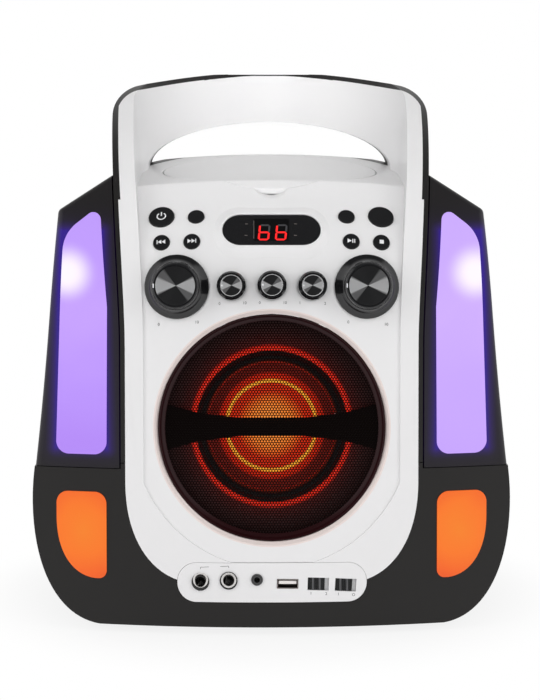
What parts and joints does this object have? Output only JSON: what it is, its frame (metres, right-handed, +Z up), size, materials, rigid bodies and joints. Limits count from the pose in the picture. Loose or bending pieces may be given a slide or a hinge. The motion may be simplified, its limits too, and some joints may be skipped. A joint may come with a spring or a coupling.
{
  "type": "karaoke machine",
  "caption": "Karaoke machine: top-loading disc well under a round lid, carrying handle, ring-lit speaker, glowing light columns, knobs, keys and jacks.",
  "frame": {"origin": "middle of the footprint on the floor, under the feet", "axes": "+Z up, -Y to the front, +X to the part's left as it faces forward"},
  "size_m": [0.3044, 0.2371, 0.3553],
  "materials": {
    "amber_lens": "frosted clear plastic lit amber from behind",
    "black_plastic": "satin moulded ABS",
    "circuit_board": "green laminate",
    "cone_paper": "coated paper",
    "control_plastic": "satin black",
    "gear_plastic": "natural acetal",
    "grille_steel": "black perforated sheet",
    "inner_plastic": "plain moulding",
    "jack_metal": "nickel plated",
    "knob_plastic": "glossy black",
    "magnet": "ferrite and plate",
    "pin_steel": "bright steel",
    "pressed_steel": "zinc-plated pressing",
    "red_light": "red light guide",
    "smoked_window": "smoked glossy plastic",
    "soft_rubber": "matte",
    "spun_metal": "spun, concentric lines",
    "trim_plastic": "satin black",
    "violet_lens": "frosted clear plastic lit violet from behind",
    "well_plastic": "satin black",
    "white_plastic": "glossy moulded ABS"
  },
  "bodies": {
    "body": {"amber_lenses": "amber_lens", "aux_jack": "inner_plastic", "av_sockets": "jack_metal", "base_housing": "black_plastic", "button_boards": "circuit_board", "case_screws": "pin_steel", "dampers": "soft_rubber", "disc_well": "well_plastic", "display_module": "inner_plastic", "display_window": "smoked_window", "drive_motors": "jack_metal", "front_panel": "white_plastic", "guide_rods": "pin_steel", "jack_plate": "white_plastic", "led_boards": "circuit_board", "left_light_lens": "violet_lens", "left_wing_cover": "black_plastic", "lid_hinge_pin": "pin_steel", "light_bar": "trim_plastic", "main_board": "circuit_board", "mechanism_plate": "pressed_steel", "mic_jacks": "jack_metal", "pots": "jack_metal", "power_inlet": "inner_plastic", "rear_shell": "black_plastic", "right_light_lens": "violet_lens", "right_wing_cover": "black_plastic", "rubber_feet": "soft_rubber", "speaker_frame": "pressed_steel", "speaker_grille": "grille_steel", "speaker_light_ring": "red_light", "speaker_magnet": "magnet", "speaker_surround": "soft_rubber", "speaker_trim_ring": "white_plastic", "switch_bodies": "inner_plastic", "tact_switches": "inner_plastic", "usb_socket": "jack_metal"},
    "lid": {"disc_lid": "white_plastic"},
    "mic_volume": {"mic_volume_knob": "knob_plastic", "mic_volume_knob_cap": "spun_metal"},
    "master_volume": {"master_volume_knob": "knob_plastic", "master_volume_knob_cap": "spun_metal"},
    "echo": {"echo_knob": "knob_plastic"},
    "talk_over": {"talk_over_knob": "knob_plastic"},
    "balance": {"balance_knob": "knob_plastic"},
    "function": {"function_switch": "control_plastic"},
    "light": {"light_switch": "control_plastic"},
    "turntable": {"turntable_hub": "well_plastic"},
    "sled": {"pickup_sled": "inner_plastic"},
    "gear": {"feed_gear": "gear_plastic"},
    "pinion": {"feed_pinion": "gear_plastic"},
    "cone": {"speaker_cone": "cone_paper"},
    "power_key": {"power_button": "control_plastic"},
    "repeat_key": {"repeat_button": "control_plastic"},
    "previous_key": {"previous_button": "control_plastic"},
    "next_key": {"next_button": "control_plastic"},
    "program_key": {"program_button": "control_plastic"},
    "light_key": {"light_button": "control_plastic"},
    "play_key": {"play_button": "control_plastic"},
    "stop_key": {"stop_button": "control_plastic"}
  },
  "joints": [
    {"name": "lid_hinge", "type": "hinge", "parent": "body", "child": "lid", "pos_m": [0, 0.08014, 0.29275], "axis": [-1, 0, 0], "range_deg": [0, 65]},
    {"name": "mic_volume_turn", "type": "hinge", "parent": "body", "child": "mic_volume", "pos_m": [-0.05952, -0.0946, 0.21791], "axis": [-0.0359, -0.99, 0.1363], "range_deg": [-150, 150]},
    {"name": "master_volume_turn", "type": "hinge", "parent": "body", "child": "master_volume", "pos_m": [0.05952, -0.0946, 0.21791], "axis": [0.0359, -0.99, 0.1363], "range_deg": [-150, 150]},
    {"name": "echo_turn", "type": "hinge", "parent": "body", "child": "echo", "pos_m": [-0.02521, -0.09671, 0.21853], "axis": [-0.0151, -0.9911, 0.1321], "range_deg": [-150, 150]},
    {"name": "talk_over_turn", "type": "hinge", "parent": "body", "child": "talk_over", "pos_m": [0, -0.09713, 0.21888], "axis": [0, -0.9912, 0.1323], "range_deg": [-150, 150]},
    {"name": "balance_turn", "type": "hinge", "parent": "body", "child": "balance", "pos_m": [0.02521, -0.09671, 0.21853], "axis": [0.0151, -0.9911, 0.1321], "range_deg": [-150, 150]},
    {"name": "power_key_press", "type": "slide", "parent": "body", "child": "power_key", "axis": [0.1181, 0.7017, -0.7026], "range_m": [0, 0.0008], "stiffness_N_per_m": 900, "springref_m": -0.0005},
    {"name": "repeat_key_press", "type": "slide", "parent": "body", "child": "repeat_key", "axis": [0.0808, 0.7046, -0.705], "range_m": [0, 0.0008], "stiffness_N_per_m": 900, "springref_m": -0.0005},
    {"name": "previous_key_press", "type": "slide", "parent": "body", "child": "previous_key", "axis": [0.1169, 0.8403, -0.5294], "range_m": [0, 0.0008], "stiffness_N_per_m": 900, "springref_m": -0.0005},
    {"name": "next_key_press", "type": "slide", "parent": "body", "child": "next_key", "axis": [0.0845, 0.8468, -0.5252], "range_m": [0, 0.0008], "stiffness_N_per_m": 900, "springref_m": -0.0005},
    {"name": "program_key_press", "type": "slide", "parent": "body", "child": "program_key", "axis": [-0.0808, 0.7046, -0.705], "range_m": [0, 0.0008], "stiffness_N_per_m": 900, "springref_m": -0.0005},
    {"name": "light_key_press", "type": "slide", "parent": "body", "child": "light_key", "axis": [-0.1181, 0.7017, -0.7026], "range_m": [0, 0.0008], "stiffness_N_per_m": 900, "springref_m": -0.0005},
    {"name": "play_key_press", "type": "slide", "parent": "body", "child": "play_key", "axis": [-0.0845, 0.8468, -0.5252], "range_m": [0, 0.0008], "stiffness_N_per_m": 900, "springref_m": -0.0005},
    {"name": "stop_key_press", "type": "slide", "parent": "body", "child": "stop_key", "axis": [-0.1169, 0.8403, -0.5294], "range_m": [0, 0.0008], "stiffness_N_per_m": 900, "springref_m": -0.0005},
    {"name": "function_slide", "type": "slide", "parent": "body", "child": "function", "axis": [0.9981, 0.0469, -0.0394], "range_m": [0, 0.0024]},
    {"name": "light_slide", "type": "slide", "parent": "body", "child": "light", "axis": [0.9952, 0.0749, -0.0629], "range_m": [0, 0.0024]},
    {"name": "turntable_spin", "type": "hinge", "parent": "body", "child": "turntable", "pos_m": [0, 0.0135, 0.29054], "axis": [0, -0.1051, 0.9945], "continuous": true},
    {"name": "sled_travel", "type": "slide", "parent": "body", "child": "sled", "axis": [1, 0, 0], "range_m": [0, 0.03]},
    {"name": "gear_spin", "type": "hinge", "parent": "body", "child": "gear", "pos_m": [0.033, -0.00993, 0.26293], "axis": [0, -0.1051, 0.9945], "range_deg": [-144.2, 0]},
    {"name": "pinion_spin", "type": "hinge", "parent": "body", "child": "pinion", "pos_m": [0.0236, -0.0228, 0.26157], "axis": [0, -0.1051, 0.9945], "range_deg": [0, 430.7]},
    {"name": "cone_stroke", "type": "slide", "parent": "body", "child": "cone", "axis": [0, -0.9962, 0.0872], "range_m": [-0.0015, 0.0015], "stiffness_N_per_m": 1500}
  ],
  "couplings": [
    {"joint": "gear_spin", "follows": "sled_travel", "rad_per_m": -83.333},
    {"joint": "pinion_spin", "follows": "sled_travel", "rad_per_m": 250}
  ]
}
